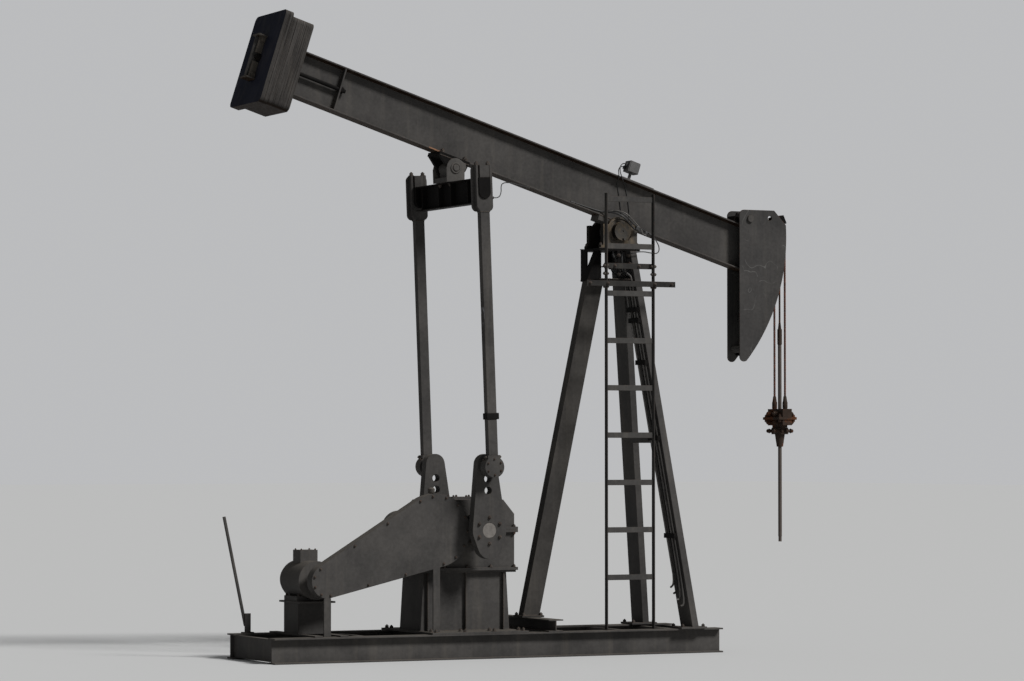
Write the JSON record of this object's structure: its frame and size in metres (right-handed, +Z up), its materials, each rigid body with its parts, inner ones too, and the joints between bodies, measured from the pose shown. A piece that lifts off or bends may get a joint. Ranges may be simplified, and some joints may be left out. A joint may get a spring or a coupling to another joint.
{
  "type": "beam pumping unit",
  "caption": "Beam pumping unit for an oil well: walking beam with plate weights on its tail, horse head, three-legged post with a ladder, pitmans, cranks and gear reducer on a skid.",
  "frame": {"origin": "on the ground, straight below the centre pin, at the middle of the four hold-down bolt holes by the post", "axes": "+X towards the well and the horse head, +Y to the side away from the ladder, +Z up"},
  "size_m": [5.0373, 1.33, 5.1756],
  "materials": {
    "dark_paint": "dusty, worn dark paint",
    "dusty_bearing": "paint under a coat of tan dust",
    "weight_steel": "blue-black paint, cut edges",
    "bare_steel": "machined, oily",
    "rusty_steel": "rust brown",
    "belt_rubber": "matte",
    "sensor_grey": "light grey",
    "hose": "matte black"
  },
  "bodies": {
    "base": {"skid_rail_near": "dark_paint", "skid_rail_far": "dark_paint", "cross_members": "dark_paint", "front_leg_near": "dark_paint", "front_leg_far": "dark_paint", "rear_leg": "dark_paint", "rear_sill": "dark_paint", "leg_braces": "dark_paint", "post_head": "dark_paint", "centre_bearings": "dusty_bearing", "loop_cable": "hose", "ladder_rails": "dark_paint", "ladder_rungs": "dark_paint", "ladder_brackets": "dark_paint", "gear_pedestal": "dark_paint", "gear_reducer": "dark_paint", "reducer_cover": "dark_paint", "reducer_pulley": "dark_paint", "brake_drum": "dark_paint", "brake_lever": "dark_paint", "motor": "dark_paint", "motor_mount": "dark_paint", "motor_pulley": "dark_paint", "drive_belt": "belt_rubber", "belt_guard": "dark_paint"},
    "beam": {"walking_beam": "dark_paint", "saddle": "dark_paint", "centre_shaft": "bare_steel", "tail_bracket": "dark_paint", "tail_pin": "bare_steel", "weight_plates": "weight_steel", "tie_rods": "dark_paint", "beam_rib": "dark_paint", "head_plate_near": "dark_paint", "head_plate_far": "dark_paint", "head_face": "dark_paint", "head_braces": "dark_paint", "head_pin": "dark_paint", "head_latch": "dark_paint", "wire_anchor": "dark_paint", "sensor_box": "sensor_grey", "cable_clips": "dark_paint"},
    "equalizer": {"grease_hose": "hose", "equalizer": "dark_paint", "tail_bearing": "dark_paint", "keeper_blocks": "dark_paint", "pitman_near": "dark_paint", "pitman_far": "dark_paint", "wrist_near": "dark_paint", "wrist_far": "dark_paint"},
    "cranks": {"crank_near": "dark_paint", "crank_far": "dark_paint", "crankshaft": "bare_steel"},
    "carrier": {"wires": "rusty_steel", "carrier_bar": "rusty_steel", "rod_clamp": "rusty_steel", "well_rod": "bare_steel", "rod_link": "dark_paint"}
  },
  "joints": [
    {"name": "beam_rock", "type": "hinge", "parent": "base", "child": "beam", "pos_m": [0, 0, 3.5], "axis": [0, -1, 0], "range_deg": [0, 37.6]},
    {"name": "equalizer_swing", "type": "hinge", "parent": "beam", "child": "equalizer", "pos_m": [-1.51081, 0, 3.97926], "axis": [0, -1, 0], "range_deg": [-37.07, 0]},
    {"name": "crank_turn", "type": "hinge", "parent": "base", "child": "cranks", "pos_m": [-1.397, 0, 1.033], "axis": [0, -1, 0], "range_deg": [0, 180.55]},
    {"name": "rod_lift", "type": "slide", "parent": "base", "child": "carrier", "axis": [0, 0, 1], "range_m": [0, 1.0672], "deforming": ["wires"]}
  ],
  "couplings": [
    {"joint": "equalizer_swing", "follows": "beam_rock", "ratio": -0.98572},
    {"joint": "crank_turn", "follows": "beam_rock", "ratio": 4.8018},
    {"joint": "rod_lift", "follows": "beam_rock", "m_per_rad": 1.626}
  ]
}
